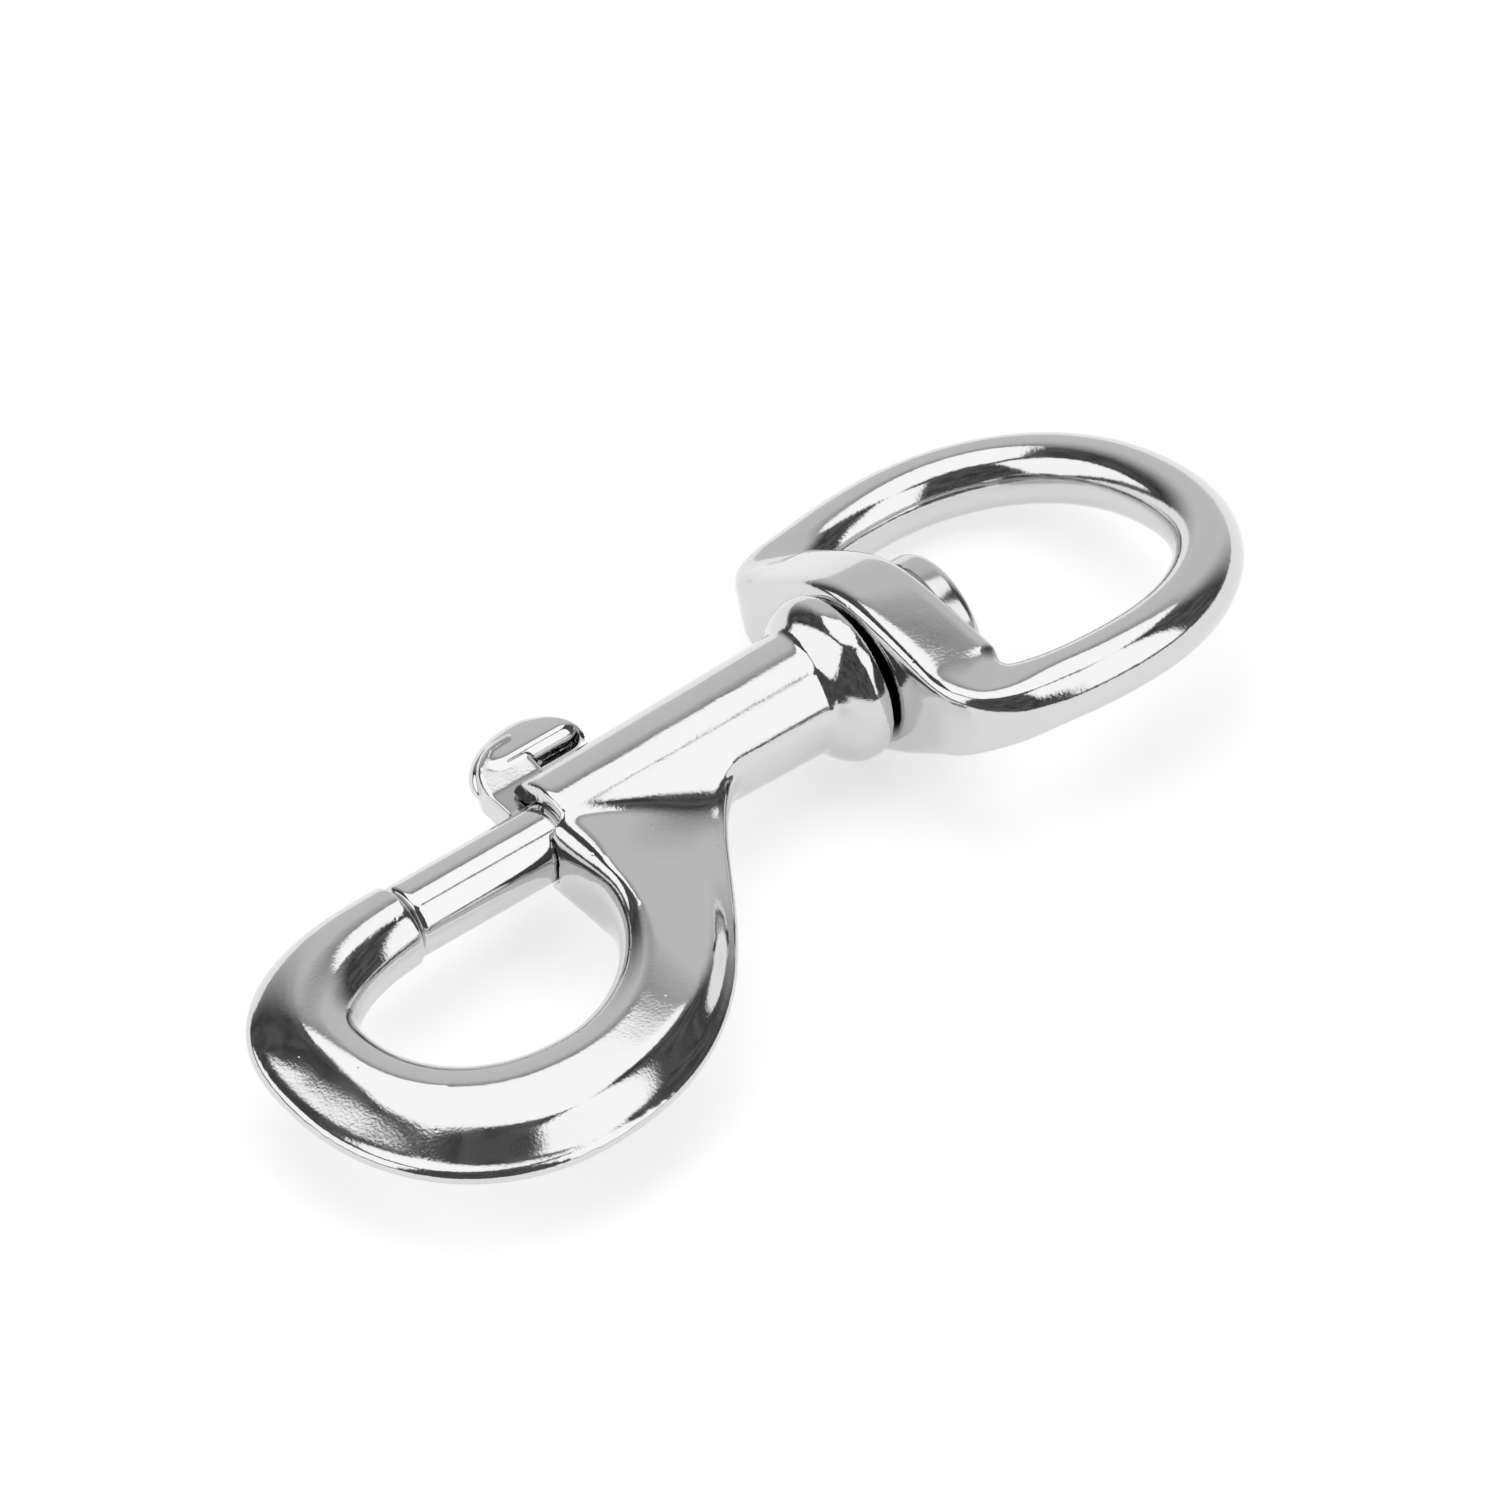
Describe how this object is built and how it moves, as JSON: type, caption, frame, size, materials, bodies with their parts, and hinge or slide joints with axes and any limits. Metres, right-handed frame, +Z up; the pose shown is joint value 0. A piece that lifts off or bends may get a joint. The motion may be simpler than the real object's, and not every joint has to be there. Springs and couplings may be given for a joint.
{
  "type": "swivel snap hook",
  "caption": "Cast swivel snap hook: a sprung bolt with a thumb knob closes the hook, and a webbing eye turns on a rivet behind the collar.",
  "frame": {"origin": "centre of the opening of the swivel eye, on the common axis of the swivel and the bolt", "axes": "+X from the hook to the eye along the swivel's axis, +Y across it towards the thumb knob, +Z up, square to the flat of the hook"},
  "size_m": [0.0891, 0.0433, 0.0142],
  "materials": {
    "hook_body": "plated and tumbled bright",
    "bolt": "plated bright",
    "bolt_spring": "drawn wire",
    "swivel_rivet": "plated",
    "swivel_eye": "plated and tumbled bright"
  },
  "bodies": {
    "hook": {"hook_body": "hook_body", "swivel_rivet": "swivel_rivet", "bolt_spring": "bolt_spring"},
    "bolt": {"bolt": "bolt"},
    "eye": {"swivel_eye": "swivel_eye"}
  },
  "joints": [
    {"name": "bolt_slide", "type": "slide", "parent": "hook", "child": "bolt", "axis": [1, 0, 0], "range_m": [0, 0.0126], "stiffness_N_per_m": 400, "springref_m": -0.004, "deforming": ["bolt_spring"]},
    {"name": "eye_swivel", "type": "hinge", "parent": "hook", "child": "eye", "pos_m": [0, 0, 0], "axis": [1, 0, 0], "continuous": true}
  ]
}
